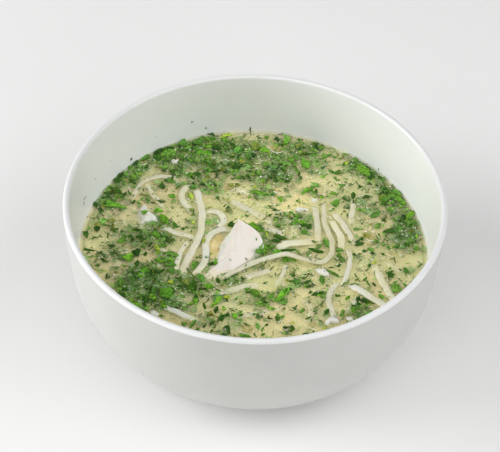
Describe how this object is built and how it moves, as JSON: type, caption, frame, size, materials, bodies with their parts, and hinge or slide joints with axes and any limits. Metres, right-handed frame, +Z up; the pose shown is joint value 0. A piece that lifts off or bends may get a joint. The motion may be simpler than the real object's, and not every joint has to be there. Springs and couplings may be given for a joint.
{
  "type": "bowl of chicken noodle soup",
  "caption": "Chicken noodle soup with chopped parsley and dill in a deep round white bowl, with noodles and chicken at the broth's surface.",
  "frame": {"origin": "centre of the bowl's foot, on the surface it stands on", "axes": "+Z up out of the bowl, -Y towards the eater"},
  "size_m": [0.16, 0.16, 0.0668],
  "materials": {
    "glaze": "smooth glossy white glaze",
    "broth": "wet clear broth, pale olive gold",
    "noodle": "wet boiled egg noodle, pale cream",
    "chicken": "moist poached chicken breast, pinkish white"
  },
  "bodies": {
    "root": {"bowl": "glaze", "broth": "broth", "chicken_main": "chicken", "chicken_side": "chicken", "chicken_shred_01": "chicken", "chicken_shred_02": "chicken", "chicken_shred_03": "chicken", "chicken_shred_04": "chicken", "chicken_shred_05": "chicken", "chicken_shred_06": "chicken", "chicken_shred_07": "chicken", "noodle_01": "noodle", "noodle_02": "noodle", "noodle_03": "noodle", "noodle_04": "noodle", "noodle_05": "noodle", "noodle_06": "noodle", "noodle_07": "noodle", "noodle_08": "noodle", "noodle_09": "noodle", "noodle_10": "noodle", "noodle_11": "noodle", "noodle_12": "noodle", "noodle_13": "noodle", "noodle_14": "noodle", "noodle_15": "noodle", "noodle_16": "noodle", "noodle_17": "noodle", "noodle_18": "noodle", "noodle_19": "noodle", "noodle_20": "noodle", "noodle_21": "noodle", "noodle_22": "noodle", "noodle_23": "noodle"}
  },
  "joints": []
}
